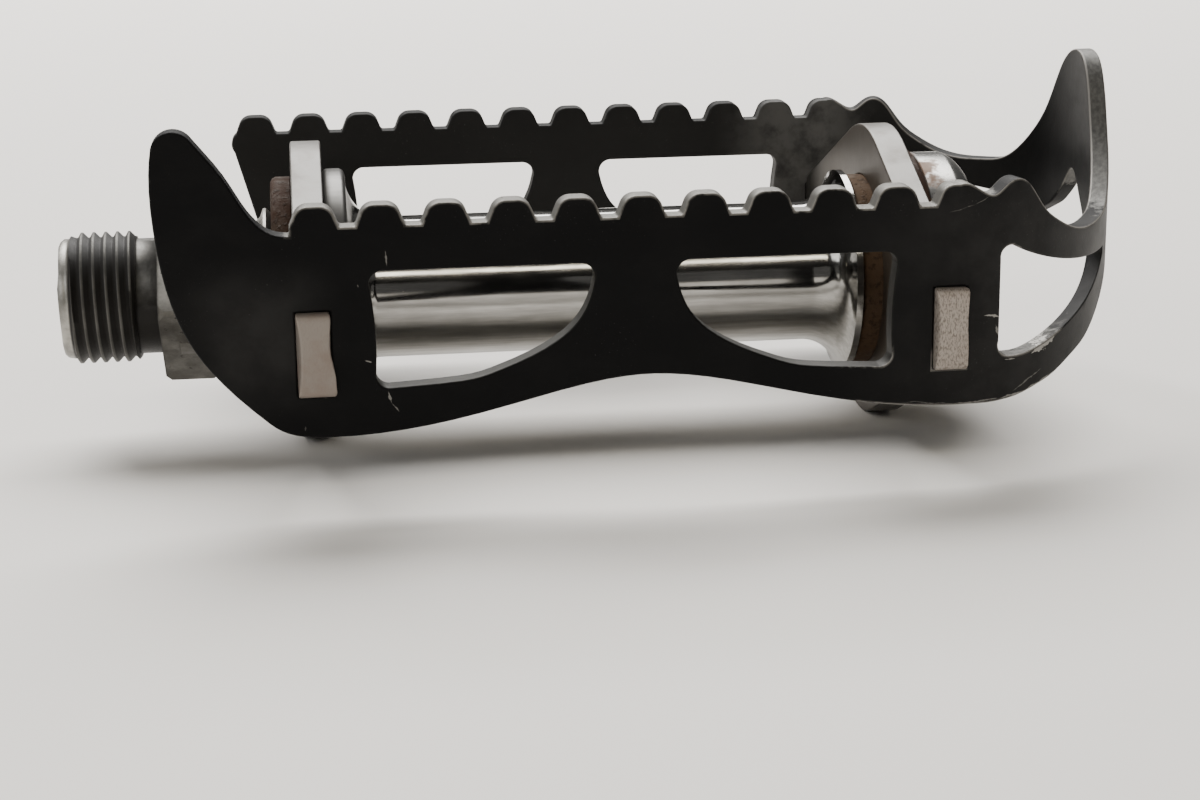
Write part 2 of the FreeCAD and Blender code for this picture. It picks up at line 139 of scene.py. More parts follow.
def turn(name, outline, sides=128, closed=False):
    """A turned piece: a circle drawn out along the spindle's axis, scaled at each (x, radius)."""
    start_fresh()
    x, r = outline[0]
    end_face = "NOTHING" if closed else "NGON"
    bpy.ops.mesh.primitive_circle_add(vertices=sides, radius=r * MM, fill_type=end_face,
                                      location=(x * MM, 0, 0), rotation=(0, math.pi / 2, 0))
    piece = bpy.context.object
    piece.name = name
    bpy.ops.object.transform_apply(location=True, rotation=True, scale=True)
    edit_all(piece)
    for next_x, next_r in outline[1:] + outline[:1] * closed:
        bpy.ops.mesh.extrude_region_move(TRANSFORM_OT_translate={"value": ((next_x - x) * MM, 0, 0)})
        bpy.ops.transform.resize(value=(1, next_r / r, next_r / r), center_override=(next_x * MM, 0, 0))
        x, r = next_x, next_r
    close_up(piece)
    return piece


def apply_modifier(piece, kind, **settings):
    pick(piece)
    modifier = piece.modifiers.new(kind.lower(), kind)
    for name, value in settings.items():
        setattr(modifier, name, value)
    bpy.ops.object.modifier_apply(modifier=modifier.name)


def combine(piece, other, operation):
    apply_modifier(piece, "BOOLEAN", object=other, operation=operation, solver="EXACT")
    bpy.data.objects.remove(other)


def smooth(piece, degrees=35):
    pick(piece)
    bpy.ops.object.shade_smooth_by_angle(angle=math.radians(degrees))


def ease(piece, width, segments=2, degrees=35):
    """Rounds a piece's sharp edges, and keeps its broad faces flat in the light."""
    apply_modifier(piece, "BEVEL", width=width * MM, segments=segments, limit_method="ANGLE",
                   angle_limit=math.radians(degrees), use_clamp_overlap=False, loop_slide=False)
    smooth(piece, 60)
    apply_modifier(piece, "WEIGHTED_NORMAL", keep_sharp=True, weight=80)


trumpet = []
for step in range(trumpet_steps + 1):
    share = step / trumpet_steps
    trumpet.append((trumpet_start + (trumpet_x - trumpet_start) * share,
                    neck_r + (trumpet_r - neck_r) * (1 - math.sqrt(1 - share ** 2))))
spindle = turn("spindle_axle", [
    (thread_end - relief_overlap, relief_r), (core_end, relief_r), (core_end, neck_r)] + trumpet + [
    (trumpet_x + trumpet_land, trumpet_r), (cone_x, cone_r), (cone_foot_x, shaft_r), (shaft_end_x, shaft_r),
    (journal_x, journal_r), (end_thread_x, journal_r), (end_thread_x, end_thread_r),
    (spindle_end - end_chamfer, end_thread_r), (spindle_end, end_thread_r - end_chamfer)])
wrench_square = turn("wrench_square", [
    (0, square_corner_r - square_chamfer), (square_chamfer, square_corner_r),
    (square_back - square_taper, square_corner_r), (square_back, neck_r)])
start_fresh()
bpy.ops.mesh.primitive_cube_add(size=1, location=(square_back / 2 * MM, 0, 0), rotation=(math.pi / 4, 0, 0),
                                scale=(flats_length * MM, square_flats * MM, square_flats * MM))
flats = bpy.context.object
bpy.ops.object.transform_apply(location=True, rotation=True, scale=True)
ease(flats, flats_ease)
combine(wrench_square, flats, "INTERSECT")
combine(spindle, wrench_square, "UNION")

# The thread is one pitch of its profile, screwed along the axis, cut square at both ends and chamfered
profile = [(0, -thread_depth), (thread_crest, -thread_depth), (thread_pitch / 2 - thread_crest / 2, 0),
           (thread_pitch / 2 + thread_crest / 2, 0), (thread_pitch, -thread_depth)]
profile_x = thread_start + thread_shift - 2 * thread_pitch
mesh = bpy.data.meshes.new("crank_thread")
mesh.from_pydata([((profile_x + x) * MM, 0, (thread_r + z) * MM) for x, z in profile],
                 [(k, k + 1) for k in range(len(profile) - 1)], [])
crank_thread = bpy.data.objects.new("crank_thread", mesh)
bpy.context.scene.collection.objects.link(crank_thread)
apply_modifier(crank_thread, "SCREW", axis="X", angle=2 * math.pi, screw_offset=thread_pitch * MM,
               iterations=thread_turns, steps=thread_sides, render_steps=thread_sides,
               use_merge_vertices=True, merge_threshold=weld_gap * MM)
close_up(crank_thread)
for cut_x, outward in ((thread_start, -1), (thread_end, 1)):
    edit_all(crank_thread)
    bpy.ops.mesh.bisect(plane_co=(cut_x * MM, 0, 0), plane_no=(outward, 0, 0), use_fill=True,
                        clear_outer=True)
    bpy.ops.object.mode_set(mode="OBJECT")
close_up(crank_thread)
for point in crank_thread.data.vertices:
    from_start = point.co.x / MM - thread_start
    to_end = thread_end - point.co.x / MM
    limit = min(lead_r - lead_chamfer + from_start, lead_r + lead_slope * max(from_start - lead_length, 0),
                thread_r - runout_depth + runout_slope * to_end)
    r = math.hypot(point.co.y, point.co.z) / MM
    if r > limit:
        point.co.y *= limit / r
        point.co.z *= limit / r
pick(spindle)
crank_thread.select_set(True)
bpy.ops.object.join()
smooth(spindle, 32)


class Wire:
    """A socket in a material's tree. Arithmetic on it adds Math nodes, and node() adds any other node."""

    def __init__(self, tree, socket=None):
        self.tree = tree
        self.socket = socket

    def node(self, kind, settings, inputs, output=0):
        made = self.tree.nodes.new("ShaderNode" + kind)
        for name, value in settings.items():
            setattr(made, name, value)
        for key, value in inputs.items():
            self.feed(made.inputs[key], value)
        return Wire(self.tree, made.outputs[output])

    def feed(self, socket, value):
        if isinstance(value, Wire):
            self.tree.links.new(value.socket, socket)
        else:
            socket.default_value = value

    def math(self, operation, first, second=0.0):
        return self.node("Math", {"operation": operation}, {0: first, 1: second})

    def __add__(self, other):
        return self.math("ADD", self, other)

    def __sub__(self, other):
        return self.math("SUBTRACT", self, other)

    def __rsub__(self, other):
        return self.math("SUBTRACT", other, self)

    def __mul__(self, other):
        return self.math("MULTIPLY", self, other)

    __radd__ = __add__
    __rmul__ = __mul__

    def rise(self, low, high):
        """0 below low, 1 above high, and smooth between them; low may be the greater."""
        return self.node("MapRange", {"interpolation_type": "SMOOTHSTEP"}, {0: self, 1: low, 2: high})

    def band(self, start, full, fade, end):
        """1 from full to fade, and 0 before start and after end."""
        return self.rise(start, full) * self.rise(end, fade)

    def blend(self, first, second):
        """The first colour where this value is 0, the second where it is 1."""
        return self.node("Mix", {"data_type": "RGBA"}, {0: self, 6: first, 7: second}, 2)


class Finish:
    """A material with a place on the piece in millimetres, and noise to break up what is on it."""

    def __init__(self, name, metallic=1.0):
        self.material = bpy.data.materials.new(name)
        self.material.use_nodes = True
        tree = self.material.node_tree
        self.shader = tree.nodes["Principled BSDF"]
        self.shader.inputs["Metallic"].default_value = metallic
        self.wire = Wire(tree)
        here = self.wire.node("TexCoord", {}, {}, 3)
        self.place = self.wire.node("VectorMath", {"operation": "SCALE"}, {0: here, "Scale": 1 / MM})
        self.x, self.y, self.z = [self.wire.node("SeparateXYZ", {}, {0: self.place}, k) for k in range(3)]

    def radius(self):
        return self.wire.math("SQRT", self.y * self.y + self.z * self.z)

    def noise(self, scale, detail=4.0, stretch=(1, 1, 1), rough=0.6):
        place = self.wire.node("Mapping", {}, {0: self.place, "Scale": stretch})
        return self.wire.node("TexNoise", {}, {"Vector": place, "Scale": scale, "Detail": detail,
                                               "Roughness": rough})

    def bump(self, height, strength, distance):
        return self.wire.node("Bump", {}, {"Height": height, "Strength": strength,
                                           "Distance": distance * MM})

    def set(self, **values):
        for name, value in values.items():
            self.wire.feed(self.shader.inputs[name.replace("_", " ")], value)

    def cover(self, piece):
        piece.data.materials.clear()
        piece.data.materials.append(self.material)


steel = Finish("worn_spindle_steel")
mottle = steel.noise(0.45, 8).rise(0.35, 0.68)
fine = steel.noise(3.5, 5)
lead_end = thread_start + lead_length
in_thread = steel.x.band(lead_end, lead_end + 0.3, thread_end - 0.1, thread_end + 0.3)
in_relief = steel.x.band(thread_end - 0.1, thread_end + 0.3, -0.1, 0.25)
on_square = steel.x.band(-0.1, 0.2, square_back - 0.4, square_back + 0.6)
flanks = steel.radius().rise(thread_r, thread_r - 0.14) * in_thread
smeared = (0.5 * steel.noise(0.5, 5) - 0.11 * steel.z).rise(-0.25, 0.3)
packed = flanks * steel.noise(0.8, 5).rise(-0.3, 0.35)
grease = steel.wire.math("MINIMUM", packed + in_relief * smeared, 1.0)
# The lower part of the square is painted darker, with stains on it.
lower_flat = on_square * steel.z.rise(3.5, -2.5)
stain = lower_flat * steel.noise(0.28, 7).rise(0.75, 0.3)
pitted = on_square * steel.noise(0.9, 4).rise(0.62, 0.7)
plating = mottle.blend(plating_dull, plating_bright)
plating = (0.85 * in_thread + 0.7 * in_relief).blend(plating, thread_dark)
plating = (0.6 * lower_flat).blend(plating, lower_flat_dark)
plating = (0.9 * stain).blend(plating, flat_stain)
plating = (0.8 * pitted).blend(plating, pit_dark)
steel.set(Base_Color=grease.blend(plating, grease_black), Metallic=1 - grease, Specular_IOR_Level=0.2,
          Roughness=0.3 + 0.22 * fine + 0.06 * grease + 0.12 * on_square + 0.1 * in_thread,
          Normal=steel.bump(fine + 0.6 * mottle - pitted, 0.25, 0.06))
steel.cover(spindle)
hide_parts("spindle")
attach(spindle, "spindle")

# Inner bearing pieces: the adjusting cone, keyed washer and lock nut on the spindle's end thread, under the
# cap, and the pressed cup at the inboard end. Ground steel in grease.
ground_steel = (0.50, 0.49, 0.47, 1)
brown_grease = (0.10, 0.07, 0.04, 1)
greasy = Finish("greasy_bearing_steel")
film = greasy.noise(0.6, 6).rise(0.4, 0.65)
greasy.set(Base_Color=film.blend(ground_steel, brown_grease), Metallic=1 - 0.6 * film,
           Roughness=0.28 + 0.2 * film, Normal=greasy.bump(film, 0.2, 0.05))
for node_name in ("adjusting_cone", "lock_washer", "lock_nut", "inboard_cup"):
    greasy.cover(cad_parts[node_name])

# Bearing balls: two rows of loose hardened steel balls that run between the cups and the cones.
# Each is a cube rounded to a true sphere.
ball_cuts = 7
polished_steel = (0.74, 0.74, 0.75, 1)
smear_brown = (0.35, 0.28, 0.20, 1)
ball_steel = Finish("hardened_ball_steel")
smear = ball_steel.noise(0.9, 4).rise(0.45, 0.7)
ball_steel.set(Base_Color=smear.blend(polished_steel, smear_brown), Roughness=0.06 + 0.2 * smear)
for row in ("inboard", "outboard"):
    for node_name in [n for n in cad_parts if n.startswith(row + "_ball_")]:
        low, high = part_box(node_name)
        start_fresh()
        bpy.ops.mesh.primitive_cube_add(size=1, location=(low + high) / 2)
        ball = bpy.context.object
        ball.name = node_name + "_round"
        bpy.ops.object.mode_set(mode="EDIT")
        bpy.ops.mesh.subdivide(number_cuts=ball_cuts)
        bpy.ops.transform.tosphere(value=1.0)
        bpy.ops.object.mode_set(mode="OBJECT")
        ball.scale = [(high.x - low.x) / (2 * ball.data.vertices[0].co.length)] * 3
        bpy.ops.object.transform_apply(location=True, rotation=True, scale=True)
        smooth(ball, 60)
        ball_steel.cover(ball)
        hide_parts(node_name)
        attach(ball, row + "_balls")

# Barrel: a chromed steel tube, swaged to a flange at the inboard plate and a trumpet at the outboard cup.
# The bright plating is hazed by handling and has a few rust specks.
barrel_low, barrel_high = (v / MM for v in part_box("barrel"))
tube_r = 7.8
bore_r = 6.3
flange_r = barrel_high.z
flange_width = 2.5
flange_lip = 0.5
flange_round = 0.6
shoulder_length = 2.9
rim_r = 11.2
rim_width = 0.9
rim_chamfer = 0.2
swage_length = 4.6
arc_count = 14
chrome_bright = (0.44, 0.432, 0.412, 1)
chrome_hazed = (0.32, 0.314, 0.296, 1)
chrome_streak = (0.18, 0.174, 0.164, 1)
flange_dark = (0.085, 0.083, 0.079, 1)
speck_rust = (0.16, 0.08, 0.04, 1)


def arc_points(start, middle, end):
    """Points of the arc through three places, the first and last of them included."""
    (ax, ay), (bx, by), (cx, cy) = start, middle, end
    d = 2 * (ax * (by - cy) + bx * (cy - ay) + cx * (ay - by))
    a2, b2, c2 = ax * ax + ay * ay, bx * bx + by * by, cx * cx + cy * cy
    ox = (a2 * (by - cy) + b2 * (cy - ay) + c2 * (ay - by)) / d
    oy = (a2 * (cx - bx) + b2 * (ax - cx) + c2 * (bx - ax)) / d
    first = math.atan2(ay - oy, ax - ox)
    sweep = math.remainder(math.atan2(cy - oy, cx - ox) - first, 2 * math.pi)
    r = math.hypot(ax - ox, ay - oy)
    angles = [first + sweep * k / (arc_count - 1) for k in range(arc_count)]
    return [(ox + r * math.cos(angle), oy + r * math.sin(angle)) for angle in angles]


flange_x = barrel_low.x + flange_width
rim_x = barrel_high.x - rim_width
swage_x = rim_x - swage_length
shoulder_mid = (flange_x + 0.3 * shoulder_length, tube_r + 0.3 * (flange_r - tube_r))
shoulder = arc_points((flange_x, flange_r - flange_round), shoulder_mid,
                      (flange_x + shoulder_length, tube_r))
swage_mid = (swage_x + 0.68 * swage_length, tube_r + 0.3 * (rim_r - tube_r))
swage = arc_points((swage_x, tube_r), swage_mid, (rim_x, rim_r))
barrel = turn("barrel_tube", [
    (barrel_low.x, flange_r - flange_lip), (barrel_low.x + 0.4 * flange_lip, flange_r - 0.3 * flange_lip),
    (barrel_low.x + flange_lip, flange_r), (flange_x - flange_round, flange_r),
    (flange_x - flange_round / 3, flange_r - flange_round / 3)] + shoulder + swage + [
    (barrel_high.x - rim_chamfer, rim_r), (barrel_high.x, rim_r - rim_chamfer), (barrel_high.x, bore_r),
    (barrel_low.x, bore_r)], closed=True)
smooth(barrel, 40)

chrome = Finish("handled_chrome")
haze = chrome.noise(0.22, 6, (0.4, 1, 1)).rise(0.3, 0.75)
drawn = chrome.noise(1.4, 3, (0.08, 1, 1))
specks = chrome.noise(1.1, 3).rise(0.735, 0.76) * chrome.noise(0.12, 2).rise(0.42, 0.6)
on_flange = chrome.x.rise(flange_x + 1.2, flange_x)
plated = haze.blend(chrome_bright, chrome_hazed)
plated = (0.45 * drawn.rise(0.35, 0.65)).blend(plated, chrome_streak)
plated = (0.85 * on_flange).blend(plated, flange_dark)
chrome.set(Base_Color=specks.blend(plated, speck_rust), Metallic=1 - specks,
           Roughness=0.07 + 0.09 * haze + 0.28 * on_flange + 0.5 * specks,
           Normal=chrome.bump(drawn + 0.5 * haze, 0.12, 0.04))
chrome.cover(barrel)
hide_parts("barrel")
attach(barrel, "pedal_body")

# Outboard cup: a pressed steel bearing cup let into the barrel's end. Its collar shows between the barrel's
# rim and the outboard plate, where the plating has gone and it has rusted brown.
cup_low, cup_high = (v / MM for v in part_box("outboard_cup"))
cup_r = cup_high.z
cup_wall = 1.0
cup_floor = 1.0
cup_chamfer = 0.2
cup_mouth = 4.34
race_r = 7.4
spigot_r = 8.9
rust_dark = (0.040, 0.024, 0.014, 1)
rust_red = (0.033, 0.014, 0.0065, 1)
collar_painted_light_brown = (0.115, 0.074, 0.045, 1)
rust_pit = (0.014, 0.009, 0.006, 1)
outboard_cup = turn("outboard_bearing_cup", [
    (cup_low.x, bore_r), (cup_low.x, spigot_r), (barrel_high.x, spigot_r),
    (barrel_high.x, cup_r - cup_chamfer), (barrel_high.x + cup_chamfer, cup_r),
    (cup_high.x - cup_chamfer, cup_r), (cup_high.x, cup_r - cup_chamfer), (cup_high.x, cup_r - cup_wall),
    (cup_high.x - cup_mouth, cup_r - cup_wall), (cup_low.x + cup_floor, race_r),
    (cup_low.x + cup_floor, bore_r)], closed=True)
smooth(outboard_cup)

rust = Finish("rusted_steel")
bloom = rust.noise(0.35, 8).rise(0.28, 0.58)
grain = rust.noise(2.6, 6)
pits = rust.noise(1.3, 4).rise(0.5, 0.66)
# The collar lies in shade, and its rust is painted a paler brown there: painted light.
collar_painted_light = rust.x.band(60, 70, 79, 80)
brown = bloom.blend(rust_dark, rust_red)
brown = (0.7 * collar_painted_light).blend(brown, collar_painted_light_brown)
rust.set(Base_Color=(0.45 * pits).blend(brown, rust_pit), Metallic=0.2 - 0.2 * bloom,
         Specular_IOR_Level=0.12, Roughness=0.5 + 0.3 * bloom, Normal=rust.bump(grain + pits, 0.5, 0.12))
rust.cover(outboard_cup)
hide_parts("outboard_cup")
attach(outboard_cup, "pedal_body")

# Rings: a turned dust ring on the inboard plate round the spindle, and a plain spacer under the dust cap.
# Mild steel, rusted brown.
ring_low, ring_high = (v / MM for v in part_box("inboard_dust_ring"))
ring_mouth_x = 13.5
ring_bore_r = 9.5
ring_round = 0.6
ring_chamfer = 0.2
spacer_low, spacer_high = (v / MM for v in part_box("outboard_ring"))
spacer_chamfer = 0.5
dust_ring = turn("inboard_ring", [
    (ring_low.x, ring_bore_r), (ring_low.x, ring_high.z - ring_round),
    (ring_low.x + ring_round / 3, ring_high.z - ring_round / 3), (ring_low.x + ring_round, ring_high.z),
    (ring_high.x - ring_chamfer, ring_high.z), (ring_high.x, ring_high.z - ring_chamfer),
    (ring_high.x, cup_r), (ring_mouth_x, cup_r), (ring_mouth_x, ring_bore_r)], closed=True)
spacer_ring = turn("outboard_spacer", [
    (spacer_low.x, cup_r), (spacer_low.x, spacer_high.z - ring_chamfer),
    (spacer_low.x + ring_chamfer, spacer_high.z), (spacer_high.x - spacer_chamfer, spacer_high.z),
    (spacer_high.x, spacer_high.z - spacer_chamfer), (spacer_high.x, cup_r)], closed=True)
for ring, node_name in ((dust_ring, "inboard_dust_ring"), (spacer_ring, "outboard_ring")):
    smooth(ring)
    rust.cover(ring)
    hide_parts(node_name)
    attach(ring, "pedal_body")

# Dust cap: a chromed steel pressing pushed into the outboard cup, with a domed shoulder and a raised boss.
# Brown staining runs up from the ring that it sits on.
cap_low, cap_high = (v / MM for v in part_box("dust_cap"))
cap_x = spacer_high.x
cap_r = cap_high.z
cap_wall = 0.85
cap_lip = 0.15
cap_skirt = 3.3
cap_fit_r = 9.6
cap_inner_r = 8.78
cap_hollow_x = 89.95
dome_length = 2.6
dome_start = cap_x + cap_skirt
dome_end = dome_start + dome_length
dome_face_r = 9.2
boss_r = 8.0
boss_root = 0.25
boss_round = 0.5
cap_bright = (0.30, 0.296, 0.282, 1)
cap_hazed = (0.24, 0.236, 0.224, 1)
cap_rust = (0.13, 0.07, 0.036, 1)
dome_mid = (dome_start + 0.7 * dome_length, dome_face_r + 0.68 * (cap_r - dome_face_r))
dome = arc_points((dome_start, cap_r), dome_mid, (dome_end, dome_face_r))
dust_cap = turn("dust_cap_pressing", [
    (cap_hollow_x, boss_r - cap_wall), (dome_end - cap_wall, cap_inner_r), (cap_low.x, cap_inner_r),
    (cap_low.x, cap_fit_r), (cap_x, cap_fit_r), (cap_x, cap_r - cap_lip),
    (cap_x + cap_lip, cap_r)] + dome + [
    (dome_end - 0.2 * boss_root, boss_r + boss_root), (dome_end + 0.8 * boss_root, boss_r),
    (cap_high.x - boss_round, boss_r), (cap_high.x - 0.3 * boss_round, boss_r - 0.3 * boss_round),
    (cap_high.x, boss_r - boss_round)])
smooth(dust_cap, 40)

stained = Finish("stained_chrome")
creep = stained.noise(0.3, 4) + 0.06 * (cap_x + 1.5 - stained.x)
rust_stain = creep.rise(0.5, 0.62) * stained.x.rise(dome_end, cap_x)
cap_haze = stained.noise(0.25, 5).rise(0.3, 0.75)
cap_plating = cap_haze.blend(cap_bright, cap_hazed)
stained.set(Base_Color=rust_stain.blend(cap_plating, cap_rust), Metallic=1 - 0.7 * rust_stain,
            Roughness=0.22 + 0.12 * cap_haze + 0.3 * rust_stain,
            Normal=stained.bump(cap_haze + rust_stain, 0.07, 0.05))
stained.cover(dust_cap)
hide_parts("dust_cap")
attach(dust_cap, "pedal_body")

# Cross plates: two aluminium plates blanked to a rounded diamond, blasted to a matt grey. Their tenons pass
# through the cage and are peened over outside it, which leaves sawn, waisted heads.
cage_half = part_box("cage")[1].y / MM
outboard_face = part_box("outboard_cross_plate")[0].x / MM
tenon_z = 0.4
tenon_half = 4.2
head_root = 0.05
head_waist = 0.5
head_spread_in = 0.05
head_spread_out = 0.08
flare_middle = 0.4
bulge_shift = 0.6
bulge_pitch = 1.6
plate_ease = 0.22
plate_dark = (0.128, 0.125, 0.118, 1)
plate_pale = (0.178, 0.174, 0.164, 1)
hub_painted_shade = (0.055, 0.047, 0.038, 1)
soil_and_shade_brown = (0.055, 0.042, 0.029, 1)
head_dark = (0.245, 0.215, 0.190, 1)
head_pale = (0.37, 0.327, 0.288, 1)
head_grit = (0.175, 0.148, 0.128, 1)
head_red = (0.21, 0.158, 0.13, 1)


def working_copy(node_name, name):
    """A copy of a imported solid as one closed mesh, with its flat faces whole again."""
    piece = bpy.data.objects.new(name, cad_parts[node_name].data.copy())
    bpy.context.scene.collection.objects.link(piece)
    edit_all(piece)
    bpy.ops.mesh.customdata_custom_splitnormals_clear()
    bpy.ops.mesh.remove_doubles(threshold=weld_gap / 2 * MM)
    bpy.ops.mesh.dissolve_limited(angle_limit=math.radians(0.4))
    bpy.ops.object.mode_set(mode="OBJECT")
    return piece


def slice_flat(piece, place, normal):
    """Cuts a piece's faces along a plane and keeps both sides."""
    edit_all(piece)
    bpy.ops.mesh.bisect(plane_co=Vector(place) * MM, plane_no=normal)
    bpy.ops.object.mode_set(mode="OBJECT")


matt = Finish("matt_plate_aluminium")
head = matt.wire.math("ABSOLUTE", matt.y).rise(cage_half - 0.2, cage_half + 0.1)
blast = matt.noise(4.5, 3)
# The inboard face of the outboard plate lies in shade and is painted a darker brown: painted shade, with
# grease spots near the hub.
shaded_hub_face = matt.x.band(outboard_face - 1, outboard_face - 0.5, outboard_face + 0.05, outboard_face + 0.15)
grease_and_painted_shade = shaded_hub_face * matt.noise(0.2, 5).rise(0.0, 0.5) * matt.radius().rise(26, 16)
dirty = matt.noise(0.25, 7).rise(0.42, 0.68) * matt.radius().rise(22, 12)
soil_and_painted_shade = matt.wire.math("MAXIMUM", dirty, grease_and_painted_shade)
sawn = matt.x.rise(40, 60)
speckle = matt.noise(6.0, 3, (1, 1, 0.4))
blotch = matt.noise(0.35, 6)
plate_colour = blotch.blend(plate_dark, plate_pale)
plate_colour = (0.5 * shaded_hub_face).blend(plate_colour, hub_painted_shade)
plate_colour = (0.85 * soil_and_painted_shade).blend(plate_colour, soil_and_shade_brown)
grit = speckle.rise(0.56, 0.36) * (0.2 + 0.8 * sawn)
head_colour = grit.blend(sawn.blend(head_dark, head_pale), head_grit)
head_colour = (0.6 * blotch.rise(0.4, 0.65) * (1 - 0.7 * sawn)).blend(head_colour, head_red)
matt.set(Base_Color=head.blend(plate_colour, head_colour), Metallic=0.85 - 0.3 * soil_and_painted_shade - 0.5 * head,
         Roughness=0.38 + 0.12 * blotch + 0.08 * head,
         Normal=matt.bump(blast * (1 - head) * 0.5 + speckle * head * (0.3 + 0.7 * sawn), 0.3, 0.07))
for node_name, flare, bulge in (("inboard_cross_plate", 0.26, 0.18), ("outboard_cross_plate", 0.0, 0.07)):
    plate = working_copy(node_name, node_name + "_blank")
    plate_low, plate_high = (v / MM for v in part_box(node_name))
    for side in (-1, 1):
        slice_flat(plate, (0, side * (cage_half + head_root), 0), (0, 1, 0))
    for quarter in range(-3, 4):
        slice_flat(plate, (0, 0, tenon_z + quarter / 4 * tenon_half), (0, 0, 1))
    plate_middle = (plate_low.x + plate_high.x) / 2
    for point in plate.data.vertices:
        if abs(point.co.y) > (cage_half + 2 * head_root) * MM:
            up = (point.co.z / MM - tenon_z) / tenon_half
            if point.co.x / MM < plate_middle:
                point.co.x += (head_waist * (1 - up * up) - head_spread_in) * MM
            else:
                swell = bulge * math.cos(2 * math.pi * (up + bulge_shift) / bulge_pitch)
                point.co.x += (head_spread_out + flare * (flare_middle - up) + swell) * MM
    ease(plate, plate_ease)
    matt.cover(plate)
    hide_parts(node_name)
    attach(plate, "pedal_body")

# Cage: one aluminium strip with stamped teeth and windows, bent round to a horned loop and anodised black.
# Its cut edges are worn to bare metal, most of all on the teeth and the loop, and its face has nicks and
# dust. Some of its pale streaks and patches are painted highlights and painted sheen.
bend_x = 80.7
loop_reach = cad_high.x / MM - bend_x
cage_ease = 0.22
edge_turn = 0.85
edge_fade = 0.4
coat_black = (0.0018, 0.0018, 0.0021, 1)
coat_dust = (0.42, 0.41, 0.40, 1)
grime_and_sheen_grey = (0.10, 0.098, 0.095, 1)
metal_dark = (0.045, 0.044, 0.041, 1)
metal_pale = (0.135, 0.132, 0.123, 1)
window_metal = (0.022, 0.0215, 0.02, 1)
tread_metal = (0.22, 0.213, 0.196, 1)
horn_metal = (0.13, 0.129, 0.125, 1)
nick_and_highlight_metal = (0.34, 0.33, 0.31, 1)
arris_wear_and_highlight_metal = (0.30, 0.285, 0.265, 1)
cage = working_copy("cage", "cage_strip")
ease(cage, cage_ease, 3)
for name in ("bare", "arris"):
    cage.data.attributes.new(name, "FLOAT", "FACE")
bare = cage.data.attributes["bare"].data
arris = cage.data.attributes["arris"].data
for face in cage.data.polygons:
    along = max(face.center.x / MM - bend_x, 0) / loop_reach ** 2
    across = face.center.y / MM / cage_half ** 2
    flat = min(abs(face.normal.x * along + face.normal.y * across) / math.hypot(along, across), 1)
    bare[face.index].value = min(max((edge_turn - flat) / edge_fade, 0), 1)
    arris[face.index].value = 4 * flat * flat * (1 - flat * flat)

black = Finish("worn_black_anodising", 0.0)
black.set(Specular_IOR_Level=0.09)
edge = black.wire.node("Attribute", {"attribute_name": "bare"}, {}, 2)
corner = black.wire.node("Attribute", {"attribute_name": "arris"}, {}, 2)
near = black.y.rise(4, -4)
outside = black.y.rise(-15, -22)
on_tread = black.z.rise(10.5, 11.5) * black.x.band(13, 15, 83, 86)
on_horn = black.x.rise(97, 102) * black.z.rise(7, 10)
at_window = black.z.band(-4.6, -4.0, 9.0, 9.6) * black.x.band(19, 21, 78, 80)
on_foot = black.x.band(64, 78, 94, 99) * black.z.rise(0, -3)
on_loop = black.x.rise(79, 84) * black.z.rise(6, 9)
wear = 0.12 + near * (0.48 * on_tread + 0.6 * at_window + 0.42 * on_foot) + 0.55 * on_horn
bared = (1.25 * wear + 1.3 * black.noise(1.1, 7) - 0.65).rise(0.36, 0.62) * edge
# Pale streaks are painted along the rounded edges, most on the foot, teeth, loop and horn: partly worn
# arrises, partly painted highlights.
rubs_and_highlight = 0.1 + near * (0.5 * on_foot + 0.3 * on_tread) + 0.4 * on_loop + 0.3 * on_horn
arris_wear_and_highlight = (rubs_and_highlight + 0.9 * black.noise(0.8, 6) - 0.45).rise(0.22, 0.5) * corner.rise(0.1, 0.5)

# Scratches, chips and the painted highlight streaks wander a little, and are torn along their sides
wander_x = black.x + 0.5 * (black.noise(0.5, 1) - 0.5)
wander_z = black.z + 0.5 * (black.noise(0.5, 1, (1, 1, 1.3)) - 0.5)
torn = 2.4 * black.noise(2.4, 5) - 0.6


def face_mark(x0, z0, x1, z1, width, bright):
    """A scratch or a painted highlight streak on the near face, from one place to another, thin at its
    ends.
    """
    along, up = x1 - x0, z1 - z0
    dx, dz = wander_x - x0, wander_z - z0
    part = (dx * along + dz * up) * (1 / (along * along + up * up))
    part = black.wire.math("MINIMUM", black.wire.math("MAXIMUM", part, 0.0), 1.0)
    off_x, off_z = dx - part * along, dz - part * up
    off = black.wire.math("SQRT", off_x * off_x + off_z * off_z)
    taper = 1.1 - (2 * part - 1) * (2 * part - 1)
    return bright * (width * taper * torn - off).rise(-0.03, 0.05) * outside


# Each is the x and z of both ends, a width and a brightness
by_inboard_window = (
    (23.6, 10.5, 23.6, 8.9, 0.16, 0.6), (23.4, -3.5, 23.7, -4.8, 0.16, 0.7),
    (23.7, -4.8, 24.4, -5.7, 0.12, 0.6), (21.2, -0.4, 21.9, -0.6, 0.12, 0.8),
    (20.8, 7.1, 20.9, 7.1, 0.2, 0.5))
by_inboard_head = ((7.1, -2.3, 7.8, -3.2, 0.14, 0.8), (15.1, -7.0, 15.3, -7.0, 0.3, 0.3))
by_last_tooth = ((79.6, 12.2, 82.2, 12.9, 0.07, 0.35), (82.2, 12.9, 83.7, 13.7, 0.08, 0.4))
by_loop_window = (
    (89.2, -3.1, 92.1, -1.9, 0.62, 0.9), (92.6, -0.9, 93.6, -0.3, 0.4, 0.8),
    (83.5, 1.5, 85.3, 1.2, 0.2, 0.9), (84.8, 0.4, 85.2, -0.8, 0.16, 0.7),
    (86.0, -3.3, 87.2, -3.4, 0.16, 0.8), (87.1, -6.8, 90.5, -5.0, 0.14, 0.5))
